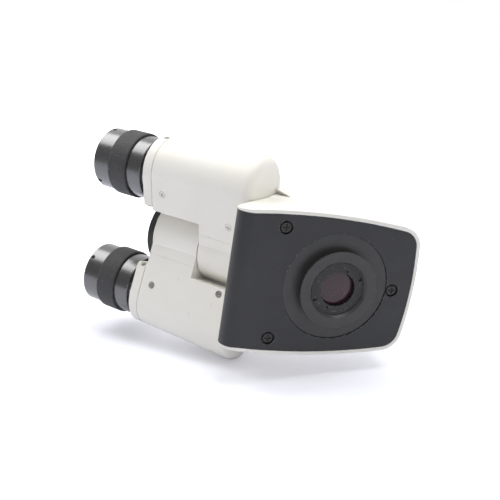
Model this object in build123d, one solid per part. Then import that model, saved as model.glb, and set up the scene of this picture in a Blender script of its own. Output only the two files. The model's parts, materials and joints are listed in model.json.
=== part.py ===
from build123d import *
import math
import os

# Binocular viewing head of a laboratory microscope, 45 degree inclination.
# Millimetres. +Z points up, away from the stand. The user sits on the -Y side.
# The origin is the centre of the dovetail's end face. Each piece is drawn with z counted
# from the base plate's outer face, and write() lifts it by the dovetail's height.
# Arm pieces are drawn in the hinge frame: x outboard, y up, z along the hinge axis
# towards the eyes, counted from where that axis crosses the vertical optical axis.

# Hinge axis and eyepiece spacing
INCLINATION = 45.0
AXIS_Z = 11.6
EYE_OFFSET = 37.5
REST_DROOP = 13.4

# Base plate
PLATE_T = 3.0
PLATE_FRONT_HALF = 36.1
PLATE_FRONT_Y = -49.6
PLATE_WIDE_HALF = 37.3
PLATE_WIDE_Y = -23.0
PLATE_REAR_HALF = 31.9
PLATE_REAR_CORNER_Y = 40.6
PLATE_REAR_Y = 43.5
PLATE_CORNER_R = 9.5
LIP_R = 7.2
LIP_T = 2.4
SCREW_X = 30.2
SCREW_FRONT_Y = -32.4
SCREW_REAR_Y = 32.6
SCREW_HEAD_R = 3.0
SCREW_HEAD_H = 1.3
SCREW_SINK = 1.6
SCREW_POCKET_R = 3.6
SCREW_SHANK_R = 1.5
SCREW_LENGTH = 10.0

# Dovetail flange and the lens behind it
DOVETAIL_R = 21.0
DOVETAIL_H = 4.8
DOVETAIL_EDGE = 1.0
DOVETAIL_NECK_R = 19.0
SEAT_R = 29.0
SEAT_SINK = 0.6
FLANGE_R = 35.0
FLANGE_T = 3.0
FLANGE_BORE_R = 14.3
FLANGE_MOUTH_R = 15.6
FLANGE_MOUTH_H = 1.4
FLANGE_BOLT_R = 32.4
BOLT_HEAD_R = 1.9
BOLT_HEAD_H = 1.1
BOLT_SHANK_R = 1.0
RING_SINK = 1.8
CELL_WALL = 2.1
CELL_TOP_Z = 9.0
RING_R_IN = 9.4
RING_T = 1.6
LENS_T = 6.0
LENS_CURVE_R = 70.0

# Casing
RIM_W = 1.9
CASING_WALL = 2.4
CASING_DRAFT = 3.0
CASING_FRONT_S = 39.3
SHOULDER_REAR_Z = 34.0
SHOULDER_FALL = 14.0
SHOULDER_FILLET = 9.0
TURRET_R = 38.0
TURRET_BACK_S = 6.0
DOME_R = 41.3
DOME_BACK_R = 36.6
DOME_BACK_S = 30.0
DOME_BULGE = 0.5
DOME_CUT_Y = -0.6
DOME_CUT_ANGLE = 53.0
BOSS_R = 4.2

# Hinge tube
TUBE_R = 16.0
TUBE_WALL = 1.6
TUBE_FLANGE_R = 24.0
TUBE_FLANGE_T = 3.0
TUBE_END_S = 105.6
RUNNING_GAP = 0.03
WASHER_T = 0.3
FACE_GAP = 0.1
DISC_R = 20.2
DISC_T = 3.7
DISC_RECESS = 0.7
NUT_R = 19.0
NUT_T = 1.2

# Arms
ARM_REAR_S = 39.8
KNUCKLE_SPLIT_S = 72.0
KNUCKLE_FRONT_S = 103.2
SEAM_S = 104.2
CAP_FRONT_S = 110.5
KNUCKLE_R = 20.0
ARM_REAR_R = 18.5
ARM_REAR_X = 42.0
ARM_FRONT_R = 18.0
ARM_FRONT_X = 40.2
MITRE = -8.4
MITRE_FILLET = 5.0
COVER_WALL = 2.0
WEB_X = 14.4
CLEAR_X = 20.6
CAP_INNER_X = 21.0
CAP_CORNER_R = 3.0
SEAM_GAP = 0.3

# Prisms
PRISM_A = 19.0
SPLITTER_S = 56.0
MIRROR_S = 83.0
TABLE_T = 2.4
WINDOW_LOW = 104.0
WINDOW_HIGH = 44.0
HEAD_PRISM_W = 29.2
HEAD_PRISM_Z = 24.0
HEAD_PRISM_REAR_Y = 8.0
HEAD_PRISM_FRONT_Y = -26.0
HEAD_PRISM_REAR_H = 10.0
CHEEK_T = 2.5
LEDGE = 2.4
CLIP_T = 0.8

# Eyepieces
SLEEVE_R = 15.8
SLEEVE_WALL = 1.7
SLEEVE_BACK_S = 98.6
RIM_R = 16.8
RIM_END_S = 111.4
BARREL_WALL = 1.8
NECK_R = 16.3
SMOOTH_R = 18.1
SMOOTH_S = 112.8
GRIP_R = 19.5
GRIP_S = 122.5
GRIP_T = 2.3
GUIDE_R = 15.2
GUIDE_END_S = 134.6
END_RING_R = 18.0
END_RING_S = 135.4
EYE_END_S = 146.9
SKIRT_R = 13.1
SKIRT_WALL = 1.5
SKIRT_BACK_S = 118.0
EYE_SEAT_S = 139.0
EYE_LENS_T = 5.5
EYE_LENS_CURVE_R = 40.0
FIELD_LENS_T = 4.5
GRUB_R = 1.2
GRUB_LENGTH = 2.6
EYE_GRUB_S = 144.7
CAP_GRUB_S = 106.2
CAP_GRUB_R = 1.5
COVER_SCREW_FRONT = (32.15, 96.65)
COVER_SCREW_REAR = (24.1, 52.3)
COVER_SCREW_R = 1.9
CAP_BOLTS = ((28.4, -14.8), (28.4, 14.8))
CAP_BOLT_HEAD_R = 1.45
CAP_BOLT_SINK = 1.3
POST_DEPTH = 4.0

OUT = "parts"
SIN = math.sin(math.radians(INCLINATION))
COS = math.cos(math.radians(INCLINATION))
HINGE = Plane(origin=(0, 0, AXIS_Z), x_dir=(1, 0, 0), z_dir=(0, -SIN, COS))
TUBE_BORE_R = TUBE_R - TUBE_WALL
HOLE_R = SCREW_SHANK_R + 0.05


def rod(r, z0, z1):
    """Round bar about the local z axis."""
    return Pos(0, 0, z0) * Cylinder(r, z1 - z0, align=(Align.CENTER, Align.CENTER, Align.MIN))


def ring(r_out, r_in, z0, z1):
    """Plain ring about the local z axis."""
    return rod(r_out, z0, z1) - rod(r_in, z0 - 1, z1 + 1)


def block(x0, x1, y0, y1, z0, z1):
    """Box between two corners."""
    size = (x1 - x0, y1 - y0, z1 - z0)
    return Pos((x0 + x1) / 2, (y0 + y1) / 2, (z0 + z1) / 2) * Box(*size)


def screw(head_r, head_h, shank_r, length):
    """Pan head screw whose head rests on z = 0 and whose shank points up."""
    head = rod(head_r, -head_h, 0)
    head = fillet(head.edges().group_by(Axis.Z)[0], head_h * 0.55)
    slot_w = head_r * 0.26
    slot_l = head_r * 1.15
    cross = Box(slot_l, slot_w, head_h) + Box(slot_w, slot_l, head_h)
    return head + rod(shank_r, 0, length) - Pos(0, 0, -head_h) * cross


def socket_screw(head_r, head_h, shank_r, length):
    """Cap screw with a hexagon socket, head on z = 0, shank pointing up."""
    socket = RegularPolygon(head_r * 0.5, 6)
    head = rod(head_r, -head_h, 0) + rod(shank_r, 0, length)
    return head - extrude(Pos(0, 0, -head_h) * socket, head_h * 0.6)


def bolt(length):
    """Small cap screw used inside the head and on the arms."""
    return socket_screw(BOLT_HEAD_R, BOLT_HEAD_H, BOLT_SHANK_R, length)


def lens(r, thickness, curve_r):
    """Biconvex lens centred on the local z axis, lower pole at z = 0."""
    low = Pos(0, 0, curve_r) * Sphere(curve_r)
    high = Pos(0, 0, thickness - curve_r) * Sphere(curve_r)
    return rod(r, 0, thickness) & low & high


# Base plate and flange

def plate_outline(grow, reach=0):
    """Plan of the base plate grown outwards, with its straight front moved forward by reach."""
    front = (PLATE_FRONT_HALF + grow, PLATE_FRONT_Y)
    wide = (PLATE_WIDE_HALF + grow, PLATE_WIDE_Y)
    corner = (PLATE_REAR_HALF + grow, PLATE_REAR_CORNER_Y + grow)
    side = ThreePointArc(front, wide, corner)
    ahead = (front[0] - reach * (side % 0).X / (side % 0).Y, PLATE_FRONT_Y - reach)
    rear = ThreePointArc(corner, (0, PLATE_REAR_Y + grow), (-corner[0], corner[1]))
    edges = [side, rear, mirror(side, about=Plane.YZ)]
    if reach:
        edges += [Line(ahead, front), Line((-ahead[0], ahead[1]), (-front[0], front[1]))]
    edges.append(Line(ahead, (-ahead[0], ahead[1])))
    face = make_face(Curve() + edges)
    return fillet(face.vertices().group_by(Axis.Y)[-1], PLATE_CORNER_R + grow)


def lip_section(thickness):
    """Section of the plate's front lip in the YZ plane, from flat to 45 degrees."""
    centre = (PLATE_FRONT_Y, LIP_R)
    full = Pos(*centre) * (Circle(LIP_R) - Circle(LIP_R - thickness))
    low = Pos(centre[0] - LIP_R, centre[1] - LIP_R) * Rectangle(2 * LIP_R, 2 * LIP_R)
    turn = math.radians(INCLINATION)
    tip = (centre[0] - 2 * LIP_R * math.sin(turn), centre[1] + 2 * LIP_R * math.cos(turn))
    wedge = Polygon(centre, (centre[0] - 3 * LIP_R, centre[1]), tip, align=None)
    return full & (low + wedge)


def screw_places():
    return [(SCREW_X, SCREW_FRONT_Y), (-SCREW_X, SCREW_FRONT_Y), (0, SCREW_REAR_Y)]


def base_plate():
    plate = extrude(plate_outline(0), PLATE_T)
    lip = extrude(Plane.YZ * lip_section(LIP_T), PLATE_FRONT_HALF, both=True)
    plate = plate + lip - rod(SEAT_R + 0.1, -1, PLATE_T + 1)
    for place in flange_bolt_places():
        plate -= place * rod(BOLT_SHANK_R + 0.05, SEAT_SINK, PLATE_T + 1)
    for x, y in screw_places():
        plate -= Pos(x, y) * (rod(SCREW_POCKET_R, -1, SCREW_SINK) + rod(HOLE_R, 0, PLATE_T + 1))
    return plate


def plate_screws():
    one = Pos(0, 0, SCREW_SINK) * screw(SCREW_HEAD_R, SCREW_HEAD_H, SCREW_SHANK_R, SCREW_LENGTH)
    return [Pos(x, y) * one for x, y in screw_places()]


def flange_bolt_places():
    return [Rot(0, 0, turn) * Pos(FLANGE_BOLT_R, 0) for turn in (15, 105, 195, 285)]


def dovetail_flange():
    """Round dovetail, its seat and the hidden plate that clamps it."""
    top = PLATE_T + FLANGE_T
    points = [
        (0, -DOVETAIL_H), (DOVETAIL_R, -DOVETAIL_H), (DOVETAIL_R, -DOVETAIL_H + DOVETAIL_EDGE),
        (DOVETAIL_NECK_R, SEAT_SINK), (SEAT_R, SEAT_SINK), (SEAT_R, PLATE_T),
        (FLANGE_R, PLATE_T), (FLANGE_R, top), (0, top),
    ]
    body = revolve(Plane.XZ * Polygon(*points, align=None), Axis.Z)
    mouth = Cone(FLANGE_MOUTH_R, FLANGE_BORE_R, FLANGE_MOUTH_H,
                 align=(Align.CENTER, Align.CENTER, Align.MIN))
    body -= Pos(0, 0, -DOVETAIL_H) * mouth
    body -= rod(FLANGE_BORE_R + RUNNING_GAP, -DOVETAIL_H - 1, top + 1)
    for place in flange_bolt_places():
        body -= place * rod(BOLT_SHANK_R + 0.05, 0, top + 1)
    for place in holder_screw_places():
        body -= place * rod(BOLT_SHANK_R + 0.05, SEAT_SINK + 1, top + 1)
    return body - Pos(0, SCREW_REAR_Y) * rod(HOLE_R, 0, top + 1)


def flange_screws():
    top = PLATE_T + FLANGE_T
    one = Pos(0, 0, top) * Rot(180, 0, 0) * bolt(top - SEAT_SINK - 1.0)
    return [place * one for place in flange_bolt_places()]


def lens_cell():
    """Threaded tube in the flange, with two spanner notches at its lower end."""
    z0 = -DOVETAIL_H + RING_SINK
    bore = FLANGE_BORE_R - CELL_WALL
    seat = z0 + RING_T + LENS_T
    cell = ring(FLANGE_BORE_R, bore, z0, CELL_TOP_Z)
    cell += ring(bore + 0.5, bore - 1.6, seat, seat + 1.2)
    for side in (1, -1):
        notch = Box(CELL_WALL + 0.4, 1.6, 1.6)
        cell -= Rot(0, 0, 62) * Pos(side * (bore + CELL_WALL / 2), 0, z0) * notch
    return cell


def lens_retaining_ring():
    z0 = -DOVETAIL_H + RING_SINK
    outer = FLANGE_BORE_R - CELL_WALL - RUNNING_GAP
    part = ring(outer, RING_R_IN, z0, z0 + RING_T)
    for side in (1, -1):
        part -= Rot(0, 0, 20) * Pos(side * (outer + RING_R_IN) / 2, 0) * rod(0.55, z0 - 1, z0 + 1)
    return part


def tube_lens():
    z0 = -DOVETAIL_H + RING_SINK + RING_T
    r = FLANGE_BORE_R - CELL_WALL - RUNNING_GAP
    return Pos(0, 0, z0) * lens(r, LENS_T, LENS_CURVE_R)


# Casing

def front_space(s):
    """Everything behind the plane square to the hinge axis at distance s."""
    return HINGE.location * block(-90, 90, -120, 120, s - 240, s)


def casing_form(inset):
    """Outer form of the casing, or its cavity when inset is the wall thickness."""
    fall = SHOULDER_FALL / (PLATE_REAR_Y - PLATE_FRONT_Y)
    roof = Polygon((-90, -1), (90, -1), (90, SHOULDER_REAR_Z - inset - fall * (90 - PLATE_REAR_Y)),
                   (-90, SHOULDER_REAR_Z - inset + fall * (90 + PLATE_REAR_Y)), align=None)
    skirt = extrude(plate_outline(RIM_W - inset, 20), 80, taper=CASING_DRAFT)
    skirt &= extrude(Plane.YZ * roof, 90, both=True)
    skirt = fillet(skirt.faces().sort_by(Axis.Z)[-1].edges(), SHOULDER_FILLET - inset)
    turret = HINGE.location * rod(TURRET_R - inset, TURRET_BACK_S, CASING_FRONT_S + 8)
    turret &= block(-60, 60, -60, PLATE_REAR_Y - 6, AXIS_Z, 90)
    form = skirt + turret
    return form & front_space(CASING_FRONT_S - inset)


def dome():
    """Rounded collar behind the arms, over the top of the turret only."""
    back = (DOME_BACK_R, DOME_BACK_S)
    front = (DOME_R, CASING_FRONT_S)
    middle = ((DOME_BACK_R + DOME_R) / 2 + DOME_BULGE, (DOME_BACK_S + CASING_FRONT_S) / 2)
    inner = TURRET_R - CASING_WALL
    arc = ThreePointArc(back, middle, front)
    lines = [
        Line(front, (inner, CASING_FRONT_S)),
        Line((inner, CASING_FRONT_S), (inner, DOME_BACK_S)),
        Line((inner, DOME_BACK_S), back),
    ]
    profile = make_face(Curve() + [arc] + lines)
    collar = revolve(Plane.XZ * profile, Axis.Z)
    step = TURRET_R - 4
    rise = DOME_CUT_Y + (DOME_R - step) * math.tan(math.radians(DOME_CUT_ANGLE))
    keep = Polygon((-60, DOME_CUT_Y), (-DOME_R, DOME_CUT_Y), (-step, rise), (step, rise),
                   (DOME_R, DOME_CUT_Y), (60, DOME_CUT_Y), (60, 60), (-60, 60), align=None)
    return HINGE.location * (collar & extrude(keep, 60))


def lip_space():
    """Room that the plate's lip and its edge take at the front of the casing."""
    turn = math.radians(INCLINATION)
    edge = (PLATE_FRONT_Y - LIP_R * math.sin(turn), LIP_R + LIP_R * math.cos(turn))
    points = [(PLATE_FRONT_Y, LIP_R), (PLATE_FRONT_Y, -2), (-90, -2), (-90, edge[1]), edge]
    low = Polygon(*points, align=None)
    outside = low - Pos(PLATE_FRONT_Y, LIP_R) * Circle(LIP_R)
    return extrude(Plane.YZ * outside, 60, both=True)


def main_casing():
    shell = casing_form(0) + dome() - lip_space()
    cavity = casing_form(CASING_WALL)
    shell -= cavity - lip_space()
    shell -= extrude(plate_outline(0.1), PLATE_T)
    lip = Pos(PLATE_FRONT_Y, LIP_R) * Circle(LIP_R + 0.1)
    lip &= Pos(PLATE_FRONT_Y - LIP_R, LIP_R) * Rectangle(2 * LIP_R, 4 * LIP_R)
    shell -= extrude(Plane.YZ * lip, PLATE_FRONT_HALF + 0.1, both=True)
    for x, y in screw_places():
        foot = PLATE_T + FLANGE_T if math.hypot(x, y) - BOSS_R < FLANGE_R else PLATE_T
        boss = rod(BOSS_R, foot, SHOULDER_REAR_Z + SHOULDER_FALL)
        shell += Pos(x, y) * boss & casing_form(CASING_WALL / 2)
    for x, y in screw_places():
        shell -= Pos(x, y) * rod(HOLE_R, PLATE_T - 1, SCREW_SINK + SCREW_LENGTH + 1)
    shell -= HINGE.location * rod(TUBE_R + 0.1, 20, CASING_FRONT_S + 5)
    for place in tube_flange_places():
        shell -= HINGE.location * place * rod(BOLT_SHANK_R + 0.05, 30, CASING_FRONT_S - 0.5)
    return shell


# Deflecting prism under the hinge

def head_prism_face():
    """Prism section in the YZ plane: it turns the vertical beam onto the hinge axis."""
    rear_top = (HEAD_PRISM_REAR_Y, HEAD_PRISM_Z + HEAD_PRISM_REAR_H)
    front = (HEAD_PRISM_FRONT_Y, HEAD_PRISM_Z)
    rear = (HEAD_PRISM_REAR_Y, HEAD_PRISM_Z)
    fall = math.tan(math.radians(INCLINATION / 2))
    rise = math.tan(math.radians(INCLINATION))
    run = (rear_top[1] - front[1] + fall * (rear_top[0] - front[0])) / (rise + fall)
    top = (front[0] + run, front[1] + rise * run)
    return Polygon(rear, rear_top, top, front, align=None)


def deflecting_prism():
    return extrude(Plane.YZ * head_prism_face(), HEAD_PRISM_W / 2, both=True)


def holder_screw_places():
    x = HEAD_PRISM_W / 2 + CHEEK_T + 2.5
    return [Pos(side * x, y) for side in (1, -1) for y in (-5, 5)]


def prism_holder():
    """Two cheeks on feet, joined by a bridge behind the prism, with ledges below it."""
    floor = PLATE_T + FLANGE_T
    x0 = HEAD_PRISM_W / 2 + 0.1
    x1 = x0 + CHEEK_T
    cheek = head_prism_face() + Pos(-4, (floor + HEAD_PRISM_Z) / 2) * Rectangle(22, HEAD_PRISM_Z - floor)
    body = Part()
    for side in (1, -1):
        body += Pos(side * (x0 + x1) / 2, 0) * extrude(Plane.YZ * cheek, CHEEK_T / 2, both=True)
        x = side * (x1 + 2.4)
        body += Pos(x, 0, floor + 1) * Box(5, 16, 2)
        ledge_y = (HEAD_PRISM_REAR_Y - 15, HEAD_PRISM_REAR_Y)
        body += Pos(side * (x0 - LEDGE / 2), sum(ledge_y) / 2, HEAD_PRISM_Z - 1.1) * Box(LEDGE, 15, 2)
    rear = HEAD_PRISM_REAR_Y + 0.1
    body += block(-x1, x1, rear, rear + 2.4, 12, HEAD_PRISM_Z + HEAD_PRISM_REAR_H)
    for near, far in ((-x1, -x0), (x0, x1)):
        body += block(near, far, 4, rear + 2.4, 12, HEAD_PRISM_Z)
    for place in holder_screw_places():
        body -= place * rod(BOLT_SHANK_R + 0.05, floor - 1, floor + 3)
    return body


def holder_screws():
    floor = PLATE_T + FLANGE_T
    one = Pos(0, 0, floor + 2) * Rot(180, 0, 0) * bolt(5.5)
    return [place * one for place in holder_screw_places()]


def prism_clip():
    """Spring strip that lies across the prism's sloping roof, on both cheeks."""
    half = HEAD_PRISM_W / 2 + CHEEK_T
    roof = Pos(0, HEAD_PRISM_REAR_Y, HEAD_PRISM_Z + HEAD_PRISM_REAR_H) * Rot(-INCLINATION / 2, 0, 0)
    strip = roof * block(-half, half, -12, -5, 0.02, CLIP_T)
    return strip - roof * Pos(0, -8.5) * rod(1.6, -1, 2)


# Hinge tube: it carries both arms and lets the beams out through two windows

def window(side, s):
    """Sector cut through the tube wall for one arm's beam and prism table."""
    turns = [-WINDOW_LOW + i * (WINDOW_LOW + WINDOW_HIGH) / 4 for i in range(5)]
    reach = 3 * TUBE_R
    rim = [(reach * math.cos(math.radians(t)), reach * math.sin(math.radians(t))) for t in turns]
    back = Pos(0, 0, s - PRISM_A / 2 - 0.4)
    sector = extrude(back * Polygon((0, 0), *rim, align=None), PRISM_A + 0.8)
    return sector if side > 0 else mirror(sector, about=Plane.YZ)


def tube_flange_places():
    r = (TUBE_R + TUBE_FLANGE_R) / 2 + 0.2
    return [Rot(0, 0, turn) * Pos(r, 0) for turn in (45, 135, 225, 315)]


def hinge_tube():
    wall = CASING_FRONT_S - CASING_WALL
    tube = ring(TUBE_R, TUBE_BORE_R, wall - TUBE_FLANGE_T, TUBE_END_S)
    tube += ring(TUBE_FLANGE_R, TUBE_BORE_R, wall - TUBE_FLANGE_T, wall)
    tube -= window(1, SPLITTER_S) + window(-1, MIRROR_S)
    for place in tube_flange_places():
        tube -= place * rod(BOLT_SHANK_R + 0.05, wall - 5, wall + 1)
    return HINGE.location * tube


def hinge_tube_screws():
    wall = CASING_FRONT_S - CASING_WALL
    one = Pos(0, 0, wall - TUBE_FLANGE_T) * bolt(TUBE_FLANGE_T + CASING_WALL - 0.6)
    return [HINGE.location * place * one for place in tube_flange_places()]


def thrust_washers():
    """Thin rings between the casing, the two knuckles and the lock nut."""
    backs = (CASING_FRONT_S + FACE_GAP, KNUCKLE_SPLIT_S - WASHER_T / 2, KNUCKLE_FRONT_S + FACE_GAP)
    r_in = TUBE_R + RUNNING_GAP
    return [HINGE.location * ring(KNUCKLE_R - 0.3, r_in, s, s + WASHER_T) for s in backs]


def nut_back():
    return KNUCKLE_FRONT_S + WASHER_T + 2 * FACE_GAP


def hinge_lock_nut():
    back = nut_back()
    nut = ring(NUT_R - 1, TUBE_R, back, back + NUT_T)
    for turn in (0, 90, 180, 270):
        nut -= Rot(0, 0, turn) * Pos(NUT_R - 1, 0, back) * Box(2, 3, 4)
    return HINGE.location * nut


def scale_disc():
    """Black cap over the front of the hinge, with an engraved-scale face."""
    back = nut_back()
    front = back + DISC_T
    disc = rod(DISC_R, back, front)
    disc = chamfer(disc.edges().group_by(Axis.Z)[-1], 0.5)
    disc -= rod(NUT_R, back - 1, back + NUT_T + 0.1) + rod(TUBE_R + 0.02, back - 1, TUBE_END_S + 0.1)
    disc -= rod(DISC_R - 3.4, front - DISC_RECESS, front + 1)
    return HINGE.location * disc


# Arms, drawn level and then turned to rest

def place_arm(shape, side):
    """Put a level right-hand arm piece on its side of the hinge, drooped as at rest."""
    level = shape if side > 0 else mirror(shape, about=Plane.YZ)
    return HINGE.location * Rot(0, 0, -side * REST_DROOP) * level


def own_zone(side):
    """Stretch of the hinge axis that an arm's own knuckle takes."""
    if side > 0:
        return ARM_REAR_S, KNUCKLE_SPLIT_S - WASHER_T / 2 - FACE_GAP
    return KNUCKLE_SPLIT_S + WASHER_T / 2 + FACE_GAP, KNUCKLE_FRONT_S


def arm_section(s, inset):
    """Slab with a round outboard edge, a little fatter at the rear."""
    t = (s - ARM_REAR_S) / (CAP_FRONT_S - ARM_REAR_S)
    r = ARM_REAR_R + (ARM_FRONT_R - ARM_REAR_R) * t - inset
    cx = ARM_REAR_X + (ARM_FRONT_X - ARM_REAR_X) * t
    slab = Pos(cx / 2, 0) * Rectangle(cx, 2 * r)
    return Pos(0, 0, s) * (slab + Pos(cx, 0) * Circle(r))


def arm_form(s0, s1, inset):
    return loft([arm_section(s0, inset), arm_section(s1, inset)], ruled=True)


def mitre_cut(inset):
    """What the 45 degree mitre behind the outer prism takes off."""
    corner = Pos(0, 0, -MITRE + inset * math.sqrt(2)) * Rot(0, 45, 0)
    return corner * block(-10, 120, -40, 40, -80, 0)


def outer_space(side, own_x, other_x, shrink):
    """Room outboard of the arm's inner edge: close beside its knuckle, clear of the other."""
    s0, s1 = own_zone(side)
    room = block(other_x, 80, -30, 30, ARM_REAR_S - 1, CAP_FRONT_S + 1)
    return room + block(own_x, 80, -30, 30, s0 + shrink if side < 0 else ARM_REAR_S - 1, s1 - shrink)


def cover_outer(side, front_s):
    form = arm_form(ARM_REAR_S, front_s, 0) - mitre_cut(0)
    slope = form.faces().sort_by(Axis((0, 0, 0), (1, 0, -1)))[-1]
    form = fillet(slope.edges().filter_by(GeomType.LINE, reverse=True), MITRE_FILLET)
    return form & outer_space(side, WEB_X, CLEAR_X, 0)


def cover_screw_places():
    return [COVER_SCREW_FRONT, COVER_SCREW_REAR]


def cover_screw_axis(x, s):
    """Frame of one cover screw: its z axis runs up into the arm from the lower face."""
    low = -arm_section(s, 0).bounding_box().max.Y
    return Location(Plane(origin=(x, low, s), x_dir=(1, 0, 0), z_dir=(0, 1, 0)))


def arm_cover(side):
    """Hollow painted shell of one arm, open towards the knuckle and at the cap."""
    front = SEAM_S - SEAM_GAP
    cover = cover_outer(side, front)
    cavity = arm_form(ARM_REAR_S, front + 5, COVER_WALL) - mitre_cut(COVER_WALL)
    cavity &= outer_space(side, WEB_X - 1, CLEAR_X + COVER_WALL, COVER_WALL)
    cavity &= block(0, 80, -30, 30, ARM_REAR_S + COVER_WALL, front + 5)
    cover -= cavity
    cover -= rod(KNUCKLE_R + 0.05, *own_zone(side))
    cover -= Pos(EYE_OFFSET, 0) * rod(SLEEVE_R + 0.1, SLEEVE_BACK_S - 0.3, front + 1)
    for x, s in cover_screw_places():
        cover -= cover_screw_axis(x, s) * (rod(COVER_SCREW_R + 0.15, -1, 0.9) + rod(HOLE_R, -1, 6))
    return place_arm(cover, side)


def arm_cover_screws(side):
    one = Pos(0, 0, 0.9) * socket_screw(COVER_SCREW_R, 0.8, SCREW_SHANK_R, 5.0)
    return [place_arm(cover_screw_axis(x, s) * one, side) for x, s in cover_screw_places()]


def prism_s(side):
    return SPLITTER_S if side > 0 else MIRROR_S


def arm_chassis(side):
    """Knuckle, web and prism floor of one arm, in one casting."""
    s0, s1 = own_zone(side)
    centre = prism_s(side)
    half = PRISM_A / 2
    body = rod(KNUCKLE_R, s0, s1)
    body += arm_form(ARM_REAR_S, CAP_FRONT_S, 0) & block(0, WEB_X - 0.05, -30, 30, s0, s1)
    body -= block(KNUCKLE_R * 0.7, WEB_X + 1, -half - 0.1, half + 3, centre - half - 1, centre + half + 1)
    body -= rod(TUBE_R + RUNNING_GAP, s0 - 1, s1 + 1)
    floor_top = -half - 0.05
    room = COVER_WALL + 0.3
    floor = block(WEB_X - 1, 50, floor_top - TABLE_T, floor_top, ARM_REAR_S + room, SLEEVE_BACK_S - 0.4)
    floor &= outer_space(side, WEB_X - 1, CLEAR_X + room, room)
    body += floor & (arm_form(ARM_REAR_S, CAP_FRONT_S, room) - mitre_cut(room))
    body += block(-7.4, WEB_X, floor_top - TABLE_T, floor_top, centre - half, centre + half)
    post_s = (SLEEVE_BACK_S - POST_DEPTH, SEAM_S - 0.1)
    post = block(CLEAR_X + room, EYE_OFFSET - half - 0.5, -ARM_REAR_R, ARM_REAR_R, *post_s)
    for x, y in CAP_BOLTS:
        post += block(CLEAR_X + room, x + 2, min(y, y / 0.86), max(y, y / 0.86), *post_s)
    body += post & arm_form(ARM_REAR_S, CAP_FRONT_S, room)
    for x, s in cover_screw_places():
        pillar = cover_screw_axis(x, s) * rod(3.4, COVER_WALL + 0.02, 7)
        pillar &= arm_form(ARM_REAR_S, CAP_FRONT_S, COVER_WALL + 0.02)
        body += pillar & outer_space(side, WEB_X - 1, CLEAR_X + room, room)
        body -= cover_screw_axis(x, s) * rod(HOLE_R, 0, 6.2)
    body -= Pos(EYE_OFFSET, 0) * rod(SLEEVE_R + 0.1, SLEEVE_BACK_S - 0.3, CAP_FRONT_S)
    for place in cap_screw_places():
        body -= place * rod(BOLT_SHANK_R + 0.05, SEAM_S - 6.5, SEAM_S + 1)
    return place_arm(body, side)


def cap_screw_places():
    return [Pos(x, y) for x, y in CAP_BOLTS]


def cap_grub_turns():
    """Radial screws at the outboard side and at both inner corners."""
    corner = math.degrees(math.atan2(ARM_FRONT_R, EYE_OFFSET - CAP_INNER_X))
    return (0, 180 - corner, 180 + corner)


def arm_cap(side):
    """Front plate of the arm; it holds the eyepiece sleeve."""
    cap = arm_form(SEAM_S, CAP_FRONT_S, 0) & block(CAP_INNER_X, 80, -30, 30, SEAM_S, CAP_FRONT_S)
    inner = cap.faces().sort_by(Axis.X)[0]
    corners = [e for e in inner.edges() if abs(e.center().Y) > ARM_FRONT_R / 2]
    cap = fillet(corners, CAP_CORNER_R)
    cap = fillet(cap.faces().sort_by(Axis.Z)[-1].edges(), 0.9)
    cap -= Pos(EYE_OFFSET, 0) * rod(SLEEVE_R + 0.02, SEAM_S - 1, CAP_FRONT_S + 1)
    for turn in cap_grub_turns():
        cap -= radial(turn, CAP_GRUB_S) * rod(CAP_GRUB_R + 0.05, 5, 30)
    for place in cap_screw_places():
        cap -= place * rod(BOLT_SHANK_R + 0.05, SEAM_S - 1, CAP_FRONT_S)
        cap -= place * rod(CAP_BOLT_HEAD_R + 0.05, CAP_FRONT_S - CAP_BOLT_SINK, CAP_FRONT_S + 1)
    return place_arm(cap, side)


def arm_cap_screws(side):
    screw_length = CAP_FRONT_S - SEAM_S + 4.5
    one = socket_screw(CAP_BOLT_HEAD_R, BOLT_HEAD_H, BOLT_SHANK_R, screw_length)
    one = Pos(0, 0, CAP_FRONT_S - CAP_BOLT_SINK) * Rot(180, 0, 0) * one
    return [place_arm(place * one, side) for place in cap_screw_places()]


def radial(turn, s):
    """Frame on the eyepiece axis whose z axis points outwards at an angle."""
    along = (math.cos(math.radians(turn)), math.sin(math.radians(turn)), 0)
    return Location(Plane(origin=(EYE_OFFSET, 0, s), x_dir=(0, 0, 1), z_dir=along))


def grub(r, r0, r1):
    """Headless screw with a hexagon socket in its outer end."""
    socket = extrude(Pos(0, 0, r1 - r) * RegularPolygon(r * 0.5, 6), 2 * r)
    return rod(r, r0, r1) - socket


def arm_cap_grubs(side):
    reach = SLEEVE_R + 1.4
    one = grub(CAP_GRUB_R, SLEEVE_R - SLEEVE_WALL, reach)
    return [place_arm(radial(turn, CAP_GRUB_S) * one, side) for turn in cap_grub_turns()]


def eyepiece_sleeve(side):
    sleeve = rod(SLEEVE_R, SLEEVE_BACK_S, CAP_FRONT_S + 0.5) + rod(RIM_R, CAP_FRONT_S + 0.02, RIM_END_S)
    sleeve -= rod(SLEEVE_R - SLEEVE_WALL, SLEEVE_BACK_S - 1, RIM_END_S + 1)
    sleeve = Pos(EYE_OFFSET, 0) * sleeve
    for turn in cap_grub_turns():
        sleeve -= radial(turn, CAP_GRUB_S) * rod(CAP_GRUB_R + 0.05, 5, 30)
    return place_arm(sleeve, side)


def half_prism(x, s, corner_x, corner_s):
    """Right angle prism; the corner signs say on which side its square corner is."""
    h = PRISM_A / 2
    points = [(x + corner_x * h, s + corner_s * h), (x - corner_x * h, s + corner_s * h),
              (x + corner_x * h, s - corner_s * h)]
    return extrude(Plane.XZ * Polygon(*points, align=None), h, both=True)


def inner_prism(side):
    """Beam splitter cube in the right arm, plain mirror prism in the left."""
    s = prism_s(side)
    parts = [half_prism(0, s, 1, -1)]
    if side > 0:
        parts.append(half_prism(0, s, -1, 1))
    return [place_arm(part, side) for part in parts]


def outer_prism(side):
    return place_arm(half_prism(EYE_OFFSET, prism_s(side), -1, 1), side)


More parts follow.
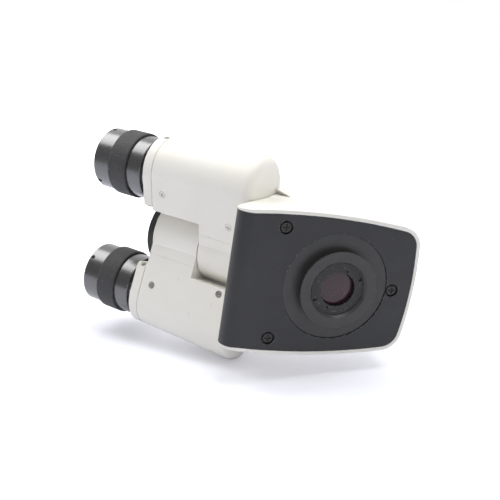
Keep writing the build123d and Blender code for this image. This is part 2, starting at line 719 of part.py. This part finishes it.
def prism_clamp(side):
    """Strip over the outer prism on two pillars that stand on the prism floor."""
    s = prism_s(side)
    half = PRISM_A / 2
    pillars = ((EYE_OFFSET - 11.9, s - half - 1.7), (EYE_OFFSET + 6.5, s + 3.5))
    strip = block(pillars[0][0] - 1.4, pillars[1][0] + 1.4, half + 0.05, half + 0.85,
                  pillars[0][1] - 1.4, pillars[1][1] + 1.4)
    for x, z in pillars:
        strip += Pos(x, 0, z) * Rot(-90, 0, 0) * rod(1.4, -half - 0.05, half + 0.5)
    return place_arm(strip, side)


# Eyepieces

def place_eye(shape, side):
    return place_arm(Pos(EYE_OFFSET, 0) * shape, side)


def eyepiece_barrel(side):
    """Plug, dark neck, smooth ring and the guide that the focus ring turns on."""
    r = SLEEVE_R - SLEEVE_WALL - RUNNING_GAP
    body = rod(r, SLEEVE_BACK_S, SMOOTH_S) + rod(NECK_R, RIM_END_S + 0.05, SMOOTH_S)
    smooth = rod(SMOOTH_R, SMOOTH_S, GRIP_S - 0.1)
    body += chamfer(smooth.edges().filter_by(GeomType.CIRCLE), 0.35)
    body += rod(GUIDE_R, SMOOTH_S, GUIDE_END_S)
    body -= rod(r - BARREL_WALL, SLEEVE_BACK_S - 1, SMOOTH_S + 1)
    body -= rod(SKIRT_R + RUNNING_GAP, SMOOTH_S + 1.5, GUIDE_END_S + 1)
    return place_eye(body, side)


def field_lens(side):
    r = SLEEVE_R - SLEEVE_WALL - RUNNING_GAP - BARREL_WALL
    return place_eye(Pos(0, 0, SLEEVE_BACK_S + 1) * lens(r, FIELD_LENS_T, LENS_CURVE_R), side)


def focus_ring(side):
    """Metal ring under the grip; it turns on the barrel."""
    r = GRIP_R - GRIP_T
    return place_eye(ring(r, GUIDE_R + RUNNING_GAP, GRIP_S, END_RING_S - 0.3), side)


def focus_grip(side):
    grip = ring(GRIP_R, GRIP_R - GRIP_T, GRIP_S, END_RING_S - 0.15)
    outer = [e for e in grip.edges().filter_by(GeomType.CIRCLE) if e.radius > GRIP_R - 0.1]
    return place_eye(chamfer(outer, 0.5), side)


def eye_cell(side):
    """End ring with its sliding skirt and the seat of the eye lens."""
    body = rod(END_RING_R, END_RING_S, EYE_END_S)
    body = chamfer(body.edges().filter_by(GeomType.CIRCLE), 0.4)
    body += rod(SKIRT_R, SKIRT_BACK_S, END_RING_S)
    body -= rod(SKIRT_R - SKIRT_WALL, SKIRT_BACK_S - 1, EYE_END_S)
    body -= rod(SKIRT_R, EYE_SEAT_S, EYE_END_S + 1)
    lens_front = EYE_SEAT_S + EYE_LENS_T
    dish = Cone(SKIRT_R, END_RING_R - 1.3, EYE_END_S - lens_front,
                align=(Align.CENTER, Align.CENTER, Align.MIN))
    body -= Pos(0, 0, lens_front) * dish
    body = Pos(EYE_OFFSET, 0) * body
    depth = END_RING_R - GRUB_LENGTH - 0.6
    for turn in (0, 120, 240):
        body -= radial(turn, EYE_GRUB_S) * rod(GRUB_R + 0.03, depth, END_RING_R + 1)
    return place_arm(body, side)


def eye_cell_grubs(side):
    top = END_RING_R - 0.6
    one = grub(GRUB_R, top - GRUB_LENGTH + 0.6, top)
    return [place_arm(radial(turn, EYE_GRUB_S) * one, side) for turn in (0, 120, 240)]


def eye_lens(side):
    return place_eye(Pos(0, 0, EYE_SEAT_S) * lens(SKIRT_R - 0.02, EYE_LENS_T, EYE_LENS_CURVE_R), side)


NODES = {
    "base_plate": base_plate,
    "plate_screws": plate_screws,
    "dovetail_flange": dovetail_flange,
    "flange_screws": flange_screws,
    "lens_cell": lens_cell,
    "lens_retaining_ring": lens_retaining_ring,
    "tube_lens": tube_lens,
    "main_casing": main_casing,
    "deflecting_prism": deflecting_prism,
    "prism_holder": prism_holder,
    "holder_screws": holder_screws,
    "prism_clip": prism_clip,
    "hinge_tube": hinge_tube,
    "hinge_tube_screws": hinge_tube_screws,
    "thrust_washers": thrust_washers,
    "hinge_lock_nut": hinge_lock_nut,
    "scale_disc": scale_disc,
}
ARM_NODES = {
    "arm_chassis": arm_chassis,
    "arm_cover": arm_cover,
    "arm_cover_screws": arm_cover_screws,
    "arm_cap": arm_cap,
    "arm_cap_screws": arm_cap_screws,
    "arm_cap_grubs": arm_cap_grubs,
    "eyepiece_sleeve": eyepiece_sleeve,
    "inner_prism": inner_prism,
    "outer_prism": outer_prism,
    "prism_clamp": prism_clamp,
    "eyepiece_barrel": eyepiece_barrel,
    "field_lens": field_lens,
    "focus_ring": focus_ring,
    "focus_grip": focus_grip,
    "eye_cell": eye_cell,
    "eye_cell_grubs": eye_cell_grubs,
    "eye_lens": eye_lens,
}


def write(name, shape):
    """Write one node; a list becomes a group of separate solids."""
    if isinstance(shape, list):
        shape = Compound([solid for item in shape for solid in item.solids()])
    export_step(Pos(0, 0, DOVETAIL_H) * shape, os.path.join(OUT, name + ".step"))


os.makedirs("parts", exist_ok=True)
for node, make in NODES.items():
    write(node, make())
for word, side in (("right_", 1), ("left_", -1)):
    for node, make in ARM_NODES.items():
        write(word + node, make(side))
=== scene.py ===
# %% [markdown]
# # The viewing head of a laboratory microscope
#
# This lesson dresses a binocular viewing head that was taken off its stand and laid on its
# left side. The solids come from the CAD model: base plate, casing, two swinging arms and two
# eyepieces. They keep their shape and place here. Blender adds the camera, the light and the
# floor, gives each surface the finish of the real metal, paint, rubber or glass, and models
# the two grained rubber grips by hand.

# %% Load the solids
import json
import math

import bpy
from mathutils import Matrix, Vector


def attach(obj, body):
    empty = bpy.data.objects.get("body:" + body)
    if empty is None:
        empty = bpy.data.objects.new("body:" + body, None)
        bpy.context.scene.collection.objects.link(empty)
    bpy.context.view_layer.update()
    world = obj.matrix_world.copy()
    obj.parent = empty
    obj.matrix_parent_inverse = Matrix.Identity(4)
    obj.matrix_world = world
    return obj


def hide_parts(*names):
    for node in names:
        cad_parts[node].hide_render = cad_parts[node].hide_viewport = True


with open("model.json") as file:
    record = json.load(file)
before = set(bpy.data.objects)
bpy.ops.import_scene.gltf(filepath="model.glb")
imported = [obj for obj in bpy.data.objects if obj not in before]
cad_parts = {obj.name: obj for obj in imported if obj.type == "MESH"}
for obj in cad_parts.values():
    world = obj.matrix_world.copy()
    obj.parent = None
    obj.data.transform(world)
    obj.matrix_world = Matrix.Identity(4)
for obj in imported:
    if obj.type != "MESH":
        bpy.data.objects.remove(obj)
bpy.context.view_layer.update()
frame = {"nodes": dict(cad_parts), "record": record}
nodes = frame["nodes"]
bpy.ops.object.select_all(action="DESELECT")
print("solids loaded:", len(nodes))

# %% [markdown]
# ## Camera
#
# The photograph looks up at the underside of the head from its front right, with a normal
# lens. The camera's place and its right and up directions were found by matching edges of
# the head, so they are kept as three vectors. A rotation matrix built from them is clearer
# than three Euler angles, because each column is a direction that can be checked by eye.

# %% Camera
MM = 0.001
CAMERA_AT = Vector((116.15, -150.11, -319.7)) * MM
CAMERA_RIGHT = Vector((0.14816, 0.95648, -0.25137)).normalized()
CAMERA_UP = Vector((0.94864, -0.06562, 0.30948)).normalized()
CAMERA_LENS = 51.22
SENSOR_WIDTH = 36
NEAREST_SEEN = 0.01

bpy.ops.object.camera_add()
camera = bpy.context.object
camera_back = CAMERA_RIGHT.cross(CAMERA_UP)
axes = Matrix((CAMERA_RIGHT, CAMERA_UP, camera_back)).transposed()
camera.matrix_world = Matrix.Translation(CAMERA_AT) @ axes.to_4x4()
camera.data.lens = CAMERA_LENS
camera.data.sensor_width = SENSOR_WIDTH
camera.data.clip_start = NEAREST_SEEN
bpy.context.scene.camera = camera
print("camera stands", round(CAMERA_AT.length, 3), "m from the dovetail")

# %% [markdown]
# ## Floor
#
# The head lies on its left side. The direction up is given, and the lowest point of the solids
# along it says where the floor is. That point is on the left arm's cover, so only the cover
# touches the floor, and the casing and the eyepiece stay 12 to 13 mm above it. The floor is
# seen from above only: its underside lets light and camera through, so that other views are
# not blocked.

# %% Floor
FLOOR_UP = Vector((0.989, -0.146, 0.028)).normalized()
FLOOR_SIZE = 6.0

floor_depth = min(vertex.co.dot(FLOOR_UP)
                  for node in nodes.values() for vertex in node.data.vertices)
bpy.ops.mesh.primitive_plane_add(size=FLOOR_SIZE)
floor = bpy.context.object
floor.name = "floor"
floor.matrix_world = (Matrix.Translation(FLOOR_UP * floor_depth)
                      @ FLOOR_UP.to_track_quat("Z", "Y").to_matrix().to_4x4())
bpy.ops.object.transform_apply(location=True, rotation=True, scale=True)
print("floor lies", round(floor_depth * 1000, 1), "mm along its up direction")

# %% [markdown]
# ## Helpers for materials
#
# Colours are written as the hex codes that a picture editor shows, and turned into linear
# light, which is what shaders calculate with. One function adds a node with its settings and
# links, so that each material below reads as a short list of what lies on what.


# %% Colours and nodes
def linear(code, alpha=1.0):
    """Turns an sRGB hex colour into the linear values that shaders use."""
    parts = [int(code[i:i + 2], 16) / 255 for i in (1, 3, 5)]
    return (*[p / 12.92 if p <= 0.04045 else ((p + 0.055) / 1.055) ** 2.4 for p in parts], alpha)


def add_node(material, kind, inputs=None, **settings):
    """Adds a node. inputs maps a socket's name or number to a value or to another output."""
    node = material.node_tree.nodes.new(kind)
    for name, value in settings.items():
        setattr(node, name, value)
    for name, value in (inputs or {}).items():
        if isinstance(value, bpy.types.NodeSocket):
            material.node_tree.links.new(value, node.inputs[name])
        else:
            node.inputs[name].default_value = value
    return node


def new_material(name, **sockets):
    """Makes a material with one Principled shader and sets the sockets that stay constant."""
    material = bpy.data.materials.new(name)
    material.use_nodes = True
    shader = material.node_tree.nodes["Principled BSDF"]
    for socket, value in sockets.items():
        shader.inputs[socket.replace("_", " ")].default_value = value
    return material, shader


def link(material, output, socket):
    material.node_tree.links.new(output, socket)


# %% [markdown]
# ## Paper
#
# The ground is a sweep of white paper. A studio lights it until it is white in the picture and
# only the shadow stays grey. More light would burn out the head as well, so a little glow is
# added for camera rays alone. It grows with the distance from the head until the paper is fully
# white, and no horizon shows.

# %% Floor finish
PAPER = "#F0F1FA"
PAPER_GLOW = 0.20
PAPER_NEAR = 0.2
PAPER_FAR = 0.45

paper, shader = new_material("white_paper_sweep", Base_Color=linear(PAPER), Roughness=0.9)
shader.inputs["Specular IOR Level"].default_value = 0.0
light_path = add_node(paper, "ShaderNodeLightPath")
spot = add_node(paper, "ShaderNodeTexCoord")
away = add_node(paper, "ShaderNodeVectorMath", {0: spot.outputs["Object"]}, operation="LENGTH")
distance = add_node(paper, "ShaderNodeMapRange",
                    {"Value": away.outputs["Value"], "From Min": PAPER_NEAR, "From Max": PAPER_FAR,
                     "To Min": PAPER_GLOW, "To Max": 1.0})
glow = add_node(paper, "ShaderNodeMath",
                {0: light_path.outputs["Is Camera Ray"], 1: distance.outputs[0]},
                operation="MULTIPLY")
emission = add_node(paper, "ShaderNodeEmission", {"Strength": glow.outputs[0]})
both = add_node(paper, "ShaderNodeAddShader", {0: shader.outputs[0], 1: emission.outputs[0]})
under = add_node(paper, "ShaderNodeBsdfTransparent")
side = add_node(paper, "ShaderNodeNewGeometry")
seen = add_node(paper, "ShaderNodeMixShader",
                {0: side.outputs["Backfacing"], 1: both.outputs[0], 2: under.outputs[0]})
link(paper, seen.outputs[0], paper.node_tree.nodes["Material Output"].inputs["Surface"])
floor.data.materials.append(paper)

# %% [markdown]
# ## World and lamps
#
# A photographer's table has bright paper behind and beside the object, and a dim room behind
# the camera. Glossy black rings show that clearly: light edges and a dark middle. The world
# gets both, with a smooth change from one to the other. Three soft lamps do the rest. The key
# hangs over the upper arm, the side lamp draws the bright line along the eyepiece rings, and
# a weak fill lifts the faces turned to the camera.

# %% World
SWEEP_LEVEL = 1.05
ROOM_LEVEL = 0.27
ROOM_STARTS = -0.1
ROOM_FULL = 0.42

scene = bpy.context.scene
scene.view_settings.view_transform = "Standard"
world = bpy.data.worlds.new("white_sweep_and_dark_room")
scene.world = world
world.use_nodes = True
ray = add_node(world, "ShaderNodeTexCoord").outputs["Generated"]
toward = add_node(world, "ShaderNodeVectorMath", {0: ray, 1: camera_back}, operation="DOT_PRODUCT")
room = add_node(world, "ShaderNodeMapRange",
                {"Value": toward.outputs["Value"], "From Min": ROOM_STARTS, "From Max": ROOM_FULL,
                 "To Min": SWEEP_LEVEL, "To Max": ROOM_LEVEL}, interpolation_type="SMOOTHSTEP")
path = add_node(world, "ShaderNodeLightPath")
seen = add_node(world, "ShaderNodeMix",
                {0: path.outputs["Is Camera Ray"], 2: room.outputs[0], 3: 1.0})
background = world.node_tree.nodes["Background"]
background.inputs["Color"].default_value = (1.0, 1.0, 1.0, 1.0)
link(world, seen.outputs[0], background.inputs["Strength"])
print("world: sweep", SWEEP_LEVEL, "room", ROOM_LEVEL)

# %% Lamps
HEAD_CENTRE = Vector((0.0, -37.0, 56.0)) * MM
LAMPS = {
    # name: direction from the head, distance and size in metres, power in watts
    "key_softbox": ((1.0, 0.1, -0.15), 1.1, 0.7, 7.0),
    "front_fill": ((0.5, -0.6, -0.75), 1.3, 0.8, 1.3),
    "side_softbox": ((0.74, -0.56, 0.38), 1.0, 0.55, 3.6),
}


def add_lamp(name, direction, distance, size, power):
    """Puts a square lamp on a direction seen from the head, facing the head."""
    bpy.ops.object.light_add(type="AREA")
    lamp = bpy.context.object
    lamp.name = name
    lamp.data.size = size
    lamp.data.energy = power
    lamp.visible_camera = False
    direction = Vector(direction).normalized()
    place = Matrix.Translation(HEAD_CENTRE + direction * distance)
    lamp.matrix_world = place @ direction.to_track_quat("Z", "Y").to_matrix().to_4x4()


for lamp_name, (toward_lamp, lamp_distance, lamp_size, lamp_power) in LAMPS.items():
    add_lamp(lamp_name, toward_lamp, lamp_distance, lamp_size, lamp_power)

# %% [markdown]
# ## Shared pieces of a finish
#
# The finishes below are built from a few helpers: a fine relief, paint or plating worn through
# along edges, marks of the lathe, and small specks. Wear is found by comparing the rounded
# normal of a Bevel node with the true normal of the face: they differ only beside an edge. A
# noise breaks that line into chips, as handling does.

# %% Helpers for relief, wear and turned marks
EYE_AXIS = Vector((0.0, -1.0, 1.0)).normalized()
RIM_STARTS = 0.97
RIM_FULL = 0.86
CHIP_EDGE = 0.05


def noise(material, place, size_mm, detail=2.0):
    """Noise whose lumps are about size_mm wide on the object."""
    return add_node(material, "ShaderNodeTexNoise",
                    {"Vector": place, "Scale": 1 / (size_mm * MM),
                     "Detail": detail}).outputs["Fac"]


def ramp(material, value, low, high, start=0.0, end=1.0):
    """Maps low..high of a value to start..end."""
    return add_node(material, "ShaderNodeMapRange",
                    {"Value": value, "From Min": low, "From Max": high,
                     "To Min": start, "To Max": end}).outputs[0]


def mixed(material, share, first, second):
    """Mixes two colours, each a hex code or an output."""
    ends = [linear(end) if isinstance(end, str) else end for end in (first, second)]
    return add_node(material, "ShaderNodeMix", {0: share, 6: ends[0], 7: ends[1]},
                    data_type="RGBA").outputs[2]


def times(material, first, second):
    return add_node(material, "ShaderNodeMath", {0: first, 1: second},
                    operation="MULTIPLY").outputs[0]


def edge_wear(material, place, width_mm, chip_mm, keep):
    """1 where a chip sits on an edge. keep is the noise level above which an edge is bare."""
    rounded = add_node(material, "ShaderNodeBevel", {"Radius": width_mm * MM}, samples=4)
    face = add_node(material, "ShaderNodeNewGeometry")
    facing = add_node(material, "ShaderNodeVectorMath",
                      {0: rounded.outputs[0], 1: face.outputs["True Normal"]},
                      operation="DOT_PRODUCT")
    rim = ramp(material, facing.outputs["Value"], RIM_STARTS, RIM_FULL)
    chips = ramp(material, noise(material, place, chip_mm, 4.0), keep, keep + CHIP_EDGE)
    return times(material, rim, chips)


def relief(material, shader, height, strength, depth_mm, edge_mm):
    """Bump over shading that is rounded at the edges by edge_mm."""
    edge = add_node(material, "ShaderNodeBevel", {"Radius": edge_mm * MM}, samples=4)
    bump = add_node(material, "ShaderNodeBump",
                    {"Height": height, "Strength": strength, "Distance": depth_mm * MM,
                     "Normal": edge.outputs[0]})
    link(material, bump.outputs[0], shader.inputs["Normal"])


def lathe_marks(material, place, direction, pitch_mm):
    """Fine rings round a turned piece whose axis has this direction."""
    along = add_node(material, "ShaderNodeVectorMath", {0: place, 1: direction},
                     operation="DOT_PRODUCT").outputs["Value"]
    count = times(material, along, 1 / (pitch_mm * MM))
    return add_node(material, "ShaderNodeTexNoise", {"W": count, "Scale": 1.0, "Detail": 2.0},
                    noise_dimensions="1D").outputs["Fac"]


def specks_on(material, place, spacing_mm, outer, inner, strength):
    """Small dots, one in each cell of a Voronoi pattern of this spacing."""
    cells = add_node(material, "ShaderNodeTexVoronoi",
                     {"Vector": place, "Scale": 1 / (spacing_mm * MM)})
    return ramp(material, cells.outputs["Distance"], outer, inner, 0.0, strength)


def on_object(material):
    return add_node(material, "ShaderNodeTexCoord").outputs["Object"]


# %% [markdown]
# ## Paint on the cast shells
#
# Casing, arms and caps are die cast aluminium, sprayed with a warm white baked enamel. Such
# paint has a fine orange peel that only shows in its highlights, a faint yellowing in clouds,
# a few specks of dirt, and grey scuffs where the head was set down.

# %% Cream enamel
ENAMEL = "#F1EFE9"
ENAMEL_AGED = "#E9E6DC"
SCUFF_GREY = "#8E8A82"
DIRT = "#6E675C"
ORANGE_PEEL_MM = 1.1
YELLOWING_MM = 28
SCUFF_MM = 9
SPECK_SPACING_MM = 5.5
PAINT_EDGE_MM = 0.35
SCUFF_TURN = (0.4, 0.2, 0.7)
SCUFF_STRETCH = (1.0, 6.0, 2.5)
SCUFF_FROM = 0.70
SCUFF_FULL = 0.78
SCUFF_SHARE = 0.55

enamel, shader = new_material("baked_cream_enamel_on_cast_aluminium", Roughness=0.42, IOR=1.5)
shader.inputs["Coat Weight"].default_value = 0.12
shader.inputs["Coat Roughness"].default_value = 0.2
place = on_object(enamel)
relief(enamel, shader, noise(enamel, place, ORANGE_PEEL_MM),
       strength=0.06, depth_mm=0.1, edge_mm=PAINT_EDGE_MM)
tint = mixed(enamel, noise(enamel, place, YELLOWING_MM, detail=3.0), ENAMEL, ENAMEL_AGED)
streak = add_node(enamel, "ShaderNodeMapping",
                  {"Vector": place, "Rotation": SCUFF_TURN, "Scale": SCUFF_STRETCH}).outputs[0]
scuffs = ramp(enamel, noise(enamel, streak, SCUFF_MM, detail=5.0),
              SCUFF_FROM, SCUFF_FULL, 0.0, SCUFF_SHARE)
tint = mixed(enamel, scuffs, tint, SCUFF_GREY)
specks = specks_on(enamel, place, SPECK_SPACING_MM, outer=0.035, inner=0.022, strength=0.75)
tint = mixed(enamel, specks, tint, DIRT)
worn = edge_wear(enamel, place, width_mm=0.3, chip_mm=4.0, keep=0.66)
tint = mixed(enamel, worn, tint, SCUFF_GREY)
link(enamel, tint, shader.inputs["Base Color"])

# %% [markdown]
# ## Black pieces
#
# The base plate is sprayed with satin black over steel and is chipped along its edges. The
# dovetail flange is turned brass with a chemical black, which stays a little uneven. The scale
# disc and the lens ring are matt lacquered. The eyepiece rings are anodised aluminium, whose
# hard black skin mirrors the lamps and the paper at a flat angle and stays dark in the middle.
# A metallic shader was tried for them first, and the bright edges stayed dull, so they have a
# dark body with a high index of refraction and a thin coat instead.

# %% Satin black plate
PLATE_BLACK = "#1F1F21"
PLATE_WORN = "#2B2B2C"
BARE_STEEL = "#A9A49A"
DUST = "#9C9A96"
SPRAY_GRAIN_MM = 0.5
PLATE_CLOUD_MM = 14
CHIP_MM = 1.8
DUST_SPACING_MM = 4.0

plate_paint, shader = new_material("satin_black_baked_paint", Roughness=0.40, IOR=1.5)
place = on_object(plate_paint)
relief(plate_paint, shader, noise(plate_paint, place, SPRAY_GRAIN_MM),
       strength=0.16, depth_mm=0.1, edge_mm=0.3)
clouds = noise(plate_paint, place, PLATE_CLOUD_MM, detail=4.0)
tint = mixed(plate_paint, clouds, PLATE_BLACK, PLATE_WORN)
chips = edge_wear(plate_paint, place, width_mm=0.5, chip_mm=CHIP_MM, keep=0.56)
tint = mixed(plate_paint, chips, tint, BARE_STEEL)
specks = specks_on(plate_paint, place, DUST_SPACING_MM, outer=0.04, inner=0.02, strength=0.6)
tint = mixed(plate_paint, specks, tint, DUST)
link(plate_paint, tint, shader.inputs["Base Color"])

# %% Blackened brass flange
# The Wave node turns its phase by 20 radians per unit at a scale of 1, so a tool mark of one
# millimetre needs a scale of a thousand times two pi over twenty. Real tool marks are finer,
# and are drawn this coarse so that they show.
WAVES = 2 * math.pi / 20
TOOL_MARK_MM = 0.604
FLANGE_CLOUD_MM = 7
FLANGE_BLACK = "#333334"
FLANGE_WORN = "#434240"
BARE_BRASS = "#9A8A6C"

flange_paint, shader = new_material("chemically_blackened_turned_brass",
                                    Roughness=0.38, Metallic=0.15)
place = on_object(flange_paint)
rings = add_node(flange_paint, "ShaderNodeTexWave",
                 {"Vector": place, "Scale": WAVES / (TOOL_MARK_MM * MM), "Distortion": 0.6},
                 wave_type="RINGS", rings_direction="Z").outputs["Fac"]
relief(flange_paint, shader, rings, strength=0.12, depth_mm=0.1, edge_mm=0.2)
clouds = noise(flange_paint, place, FLANGE_CLOUD_MM, detail=5.0)
tint = mixed(flange_paint, clouds, FLANGE_BLACK, FLANGE_WORN)
worn = edge_wear(flange_paint, place, width_mm=0.3, chip_mm=1.5, keep=0.56)
tint = mixed(flange_paint, worn, tint, BARE_BRASS)
link(flange_paint, tint, shader.inputs["Base Color"])

# %% Anodised and lacquered turned rings
# Real marks are a tenth of this and would not show.
RING_MARK_MM = 0.35
RING_CLOUD_MM = 10
LACQUER_GRAIN_MM = 0.6
LACQUER_CLOUD_MM = 8
ANODISED_BLACK = "#161618"
ANODISED_LIGHT = "#212123"
BARE_ALUMINIUM = "#D5D5D3"
LACQUER_BLACK = "#1C1C1E"
LACQUER_FADED = "#292929"
LACQUER_RUBBED = "#A89B80"

anodised, shader = new_material("black_anodised_turned_aluminium", Roughness=0.27, IOR=2.1)
shader.inputs["Coat Weight"].default_value = 0.5
shader.inputs["Coat Roughness"].default_value = 0.18
place = on_object(anodised)
turned = lathe_marks(anodised, place, EYE_AXIS, RING_MARK_MM)
relief(anodised, shader, turned, strength=0.12, depth_mm=0.05, edge_mm=0.3)
clouds = noise(anodised, place, RING_CLOUD_MM, detail=3.0)
tint = mixed(anodised, clouds, ANODISED_BLACK, ANODISED_LIGHT)
worn = edge_wear(anodised, place, width_mm=0.25, chip_mm=2.0, keep=0.6)
tint = mixed(anodised, worn, tint, BARE_ALUMINIUM)
link(anodised, tint, shader.inputs["Base Color"])

lacquer, shader = new_material("matt_black_lacquer_on_brass", Roughness=0.48, IOR=1.5)
place = on_object(lacquer)
relief(lacquer, shader, noise(lacquer, place, LACQUER_GRAIN_MM),
       strength=0.12, depth_mm=0.1, edge_mm=0.25)
clouds = noise(lacquer, place, LACQUER_CLOUD_MM, detail=4.0)
tint = mixed(lacquer, clouds, LACQUER_BLACK, LACQUER_FADED)
worn = edge_wear(lacquer, place, width_mm=0.35, chip_mm=1.6, keep=0.54)
tint = mixed(lacquer, worn, tint, LACQUER_RUBBED)
link(lacquer, tint, shader.inputs["Base Color"])

# %% [markdown]
# ## Bright metals, screws and glass
#
# The sleeve rims are hard chrome, the cover screws bright nickel, the set screws black oxide.
# Each gets a slight change of roughness over its surface, as fingers leave it, so that its
# reflections are not perfectly even. The lens is coated, and its colour is painted: a dark red
# brown is painted shade in place of the dim prisms seen through it, and a painted violet
# reflection of the coating is mixed in at a flat angle.

# %% Metals
HANDLING_MM = 3
METAL_GRAIN_MM = 0.3


def bare_metal(name, dark, light, low, high, metallic=1.0):
    """A metal whose colour and roughness drift a little across the piece."""
    metal, shader = new_material(name, Metallic=metallic)
    place = on_object(metal)
    drift = noise(metal, place, HANDLING_MM, detail=4.0)
    relief(metal, shader, noise(metal, place, METAL_GRAIN_MM),
           strength=0.05, depth_mm=0.05, edge_mm=0.1)
    link(metal, mixed(metal, drift, dark, light), shader.inputs["Base Color"])
    link(metal, ramp(metal, drift, 0.3, 0.7, low, high), shader.inputs["Roughness"])
    return metal


chrome = bare_metal("hard_chrome_on_brass", "#CFCFCD", "#E2E2E0", 0.10, 0.22)
bare_steel = bare_metal("nickel_plated_steel", "#B8B5AD", "#D2CFC7", 0.22, 0.36)
black_steel = bare_metal("black_oxide_steel", "#2C2C2E", "#45443F", 0.30, 0.45, 0.6)
aluminium = bare_metal("bead_blasted_aluminium", "#A0A1A3", "#B4B5B7", 0.45, 0.58)
brass = bare_metal("oiled_rolled_brass", "#6B542C", "#80683C", 0.30, 0.42)

# %% Coated lens
# LENS_DEEP is painted shade of the dim prisms behind the glass, which lets nothing through;
# LENS_PAINTED_FILM_REFLECTION is a painted violet reflection of the coating.
LENS_DEEP = "#341C1B"
LENS_PAINTED_FILM_REFLECTION = "#45344C"
LENS_DUST = "#B5AAA0"
LENS_DUST_MM = 0.8

lens_glass, shader = new_material("coated_crown_glass", Roughness=0.04, IOR=1.52)
# Painted reflection: the coating's violet is mixed into the colour where the lens is seen at a
# flat angle.
painted_reflection_share = add_node(lens_glass, "ShaderNodeLayerWeight", {"Blend": 0.35}).outputs["Facing"]
dust = noise(lens_glass, on_object(lens_glass), LENS_DUST_MM, detail=4.0)
tint = mixed(lens_glass, painted_reflection_share, LENS_DEEP, LENS_PAINTED_FILM_REFLECTION)
tint = mixed(lens_glass, ramp(lens_glass, dust, 0.66, 0.72, 0.0, 0.3), tint, LENS_DUST)
link(lens_glass, tint, shader.inputs["Base Color"])

# %% [markdown]
# ## Rubber grips
#
# Each focus ring wears a moulded rubber grip with a leather grain. In the CAD model it is a
# plain band. Here it is a cylinder cut into fine rings, given its wall by Solidify and its
# soft rims by Bevel, and then displaced by a cloud pattern at the size of the real grain, so
# that the grain is in the mesh and catches the light. The material only adds the finer pores.

# %% Rubber
RUBBER_BLACK = "#323233"
RUBBER_FADED = "#414141"
RUBBER_DULL = "#77757A"
PORE_MM = 0.45
RUBBER_CLOUD_MM = 5
DULL_SPOT_MM = 1.2

rubber, shader = new_material("moulded_grained_rubber", Roughness=0.62, IOR=1.5)
place = on_object(rubber)
relief(rubber, shader, noise(rubber, place, PORE_MM, detail=3.0),
       strength=0.5, depth_mm=0.12, edge_mm=0.2)
clouds = noise(rubber, place, RUBBER_CLOUD_MM, detail=4.0)
tint = mixed(rubber, clouds, RUBBER_BLACK, RUBBER_FADED)
dull = ramp(rubber, noise(rubber, place, DULL_SPOT_MM, detail=3.0), 0.62, 0.72, 0.0, 0.5)
tint = mixed(rubber, dull, tint, RUBBER_DULL)
link(rubber, tint, shader.inputs["Base Color"])

# %% Grips
GRIP_SIDES = 160
GRIP_RINGS = 18
GRAIN_MM = 1.3
GRAIN_DEPTH_MM = 0.16
GRIP_RIM_MM = 0.7
RIM_ANGLE = math.radians(40)
joints_by_name = {joint["name"]: joint for joint in frame["record"]["behaviour"]["joints"]}
grain = bpy.data.textures.new("rubber_grain", "CLOUDS")
grain.noise_scale = GRAIN_MM * MM


def model_grip(side):
    """Replaces one CAD grip by a grained one of the same bore, length and place."""
    node = nodes[side + "_focus_grip"]
    centre = Vector(joints_by_name[side + "_focus_turn"]["pos_m"])
    reach = [vertex.co - centre for vertex in node.data.vertices]
    along = [step.dot(EYE_AXIS) for step in reach]
    radii = [(step - EYE_AXIS * step.dot(EYE_AXIS)).length for step in reach]
    low, high, bore, outside = min(along), max(along), min(radii), max(radii)
    bpy.ops.object.select_all(action="DESELECT")
    bpy.ops.mesh.primitive_cylinder_add(vertices=GRIP_SIDES, radius=outside - GRAIN_DEPTH_MM * MM,
                                        depth=high - low, end_fill_type="NOTHING")
    grip = bpy.context.object
    grip.name = side + "_rubber_grip"
    bpy.ops.object.mode_set(mode="EDIT")
    for ring in range(1, GRIP_RINGS):
        bpy.ops.mesh.select_all(action="SELECT")
        height = (ring / GRIP_RINGS - 0.5) * (high - low)
        bpy.ops.mesh.bisect(plane_co=(0, 0, height), plane_no=(0, 0, 1))
    bpy.ops.object.mode_set(mode="OBJECT")
    wall = grip.modifiers.new("wall", "SOLIDIFY")
    wall.thickness = outside - GRAIN_DEPTH_MM * MM - bore
    wall.offset = -1
    rims = grip.modifiers.new("rims", "BEVEL")
    rims.width = GRIP_RIM_MM * MM
    rims.segments = 3
    rims.limit_method = "ANGLE"
    rims.angle_limit = RIM_ANGLE
    grained = grip.modifiers.new("grain", "DISPLACE")
    grained.texture = grain
    grained.texture_coords = "LOCAL"
    grained.strength = GRAIN_DEPTH_MM * MM
    for modifier in ("wall", "rims", "grain"):
        bpy.ops.object.modifier_apply(modifier=modifier)
    bpy.ops.object.shade_smooth()
    grip.matrix_world = (Matrix.Translation(centre + EYE_AXIS * (low + high) / 2)
                         @ EYE_AXIS.to_track_quat("Z", "Y").to_matrix().to_4x4())
    bpy.ops.object.transform_apply(location=True, rotation=True, scale=True)
    grip.data.materials.append(rubber)
    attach(grip, side + "_focus_ring")
    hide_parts(side + "_focus_grip")
    print(grip.name, len(grip.data.polygons), "faces, bore", round(bore * 2000, 2), "mm")


for side in ("right", "left"):
    model_grip(side)

# %% Give each solid its finish
BY_SLOT = {
    "ivory_paint": enamel, "plate_paint": plate_paint, "flange_black": flange_paint,
    "black_anodised": anodised, "black_screws": black_steel, "sleeve_steel": chrome,
    "inner_aluminium": aluminium, "spring_steel": bare_steel, "washer_brass": brass,
    "grip_rubber": rubber, "lens_glass": lens_glass,
}
BY_NODE = {
    "scale_disc": lacquer, "lens_cell": lacquer, "lens_retaining_ring": lacquer,
    "right_arm_cover_screws": bare_steel, "left_arm_cover_screws": bare_steel,
}
slot_of = {part["node"]: part["material_slot"] for part in frame["record"]["subparts"]}
for name, node in nodes.items():
    node.data.materials.clear()
    node.data.materials.append(BY_NODE.get(name, BY_SLOT[slot_of[name]]))
print("finishes:", len(BY_SLOT) + 1, "on", len(nodes), "solids")
